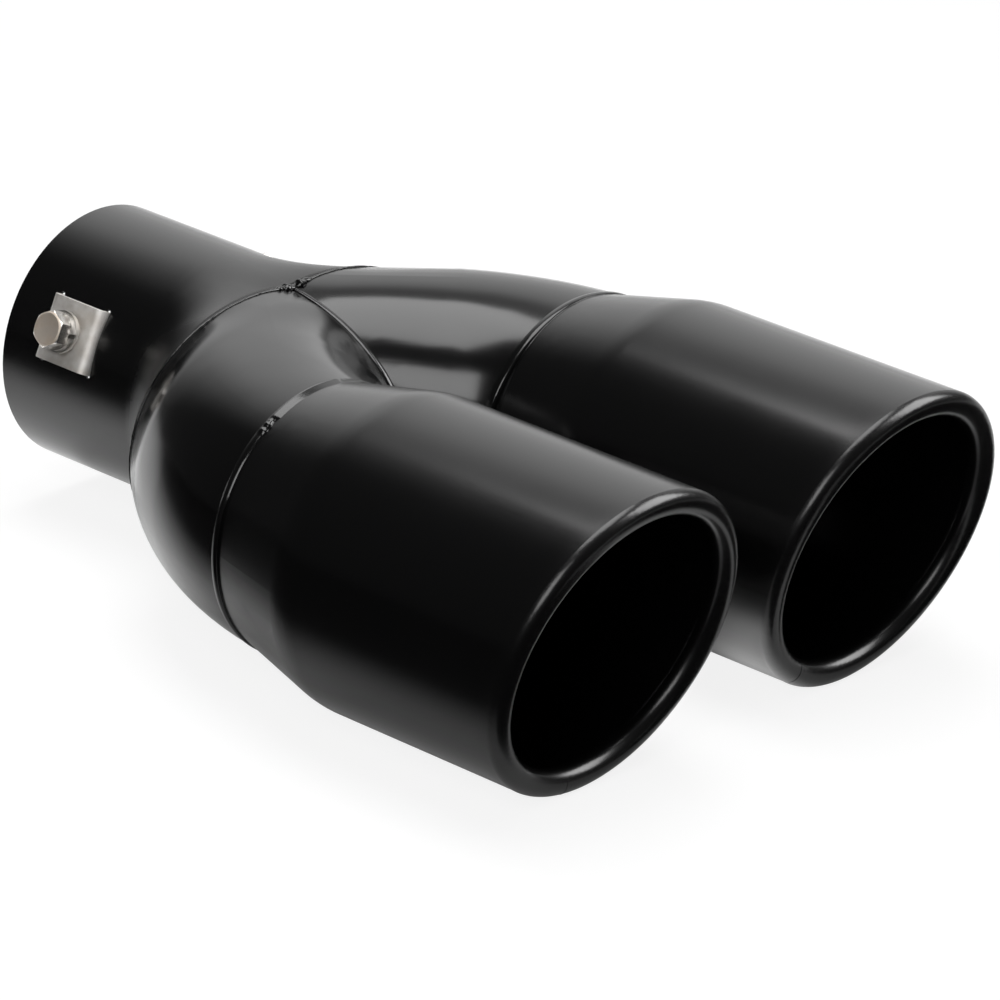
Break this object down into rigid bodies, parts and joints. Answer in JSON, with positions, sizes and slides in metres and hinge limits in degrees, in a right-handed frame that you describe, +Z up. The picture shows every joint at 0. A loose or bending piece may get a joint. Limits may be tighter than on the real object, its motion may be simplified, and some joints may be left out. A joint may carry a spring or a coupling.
{
  "type": "exhaust tip",
  "caption": "Clamp-on exhaust tip that splits a tailpipe into side-by-side slash-cut outlets with rolled rims, gripped by screw clamps on its flared inlet sleeve.",
  "frame": {"origin": "centre of the inlet sleeve's open mouth", "axes": "+X along the inlet axis from the mouth to the outlets, +Y to the right outlet, +Z up, with the long lip of the slanted outlets on top"},
  "size_m": [0.2158, 0.1644, 0.0751],
  "materials": {
    "satin_black": "satin black paint",
    "gloss_black": "gloss black paint",
    "stainless": "plain stainless steel"
  },
  "bodies": {
    "pipework": {"inlet_sleeve": "satin_black", "elbow_right": "gloss_black", "elbow_left": "gloss_black", "tip_right": "satin_black", "tip_left": "satin_black", "clamp_bracket_left": "stainless", "clamp_bracket_right": "stainless"},
    "screw_left": {"clamp_screw_left": "stainless", "lock_washer_left": "stainless", "flat_washer_left": "stainless"},
    "screw_right": {"clamp_screw_right": "stainless", "lock_washer_right": "stainless", "flat_washer_right": "stainless"}
  },
  "joints": [
    {"name": "screw_left_travel", "type": "slide", "parent": "pipework", "child": "screw_left", "axis": [0, 0.9225, -0.3859], "range_m": [-0.0015, 0.00135]},
    {"name": "screw_right_travel", "type": "slide", "parent": "pipework", "child": "screw_right", "axis": [0, -0.9455, -0.3256], "range_m": [-0.0015, 0.00135]}
  ]
}
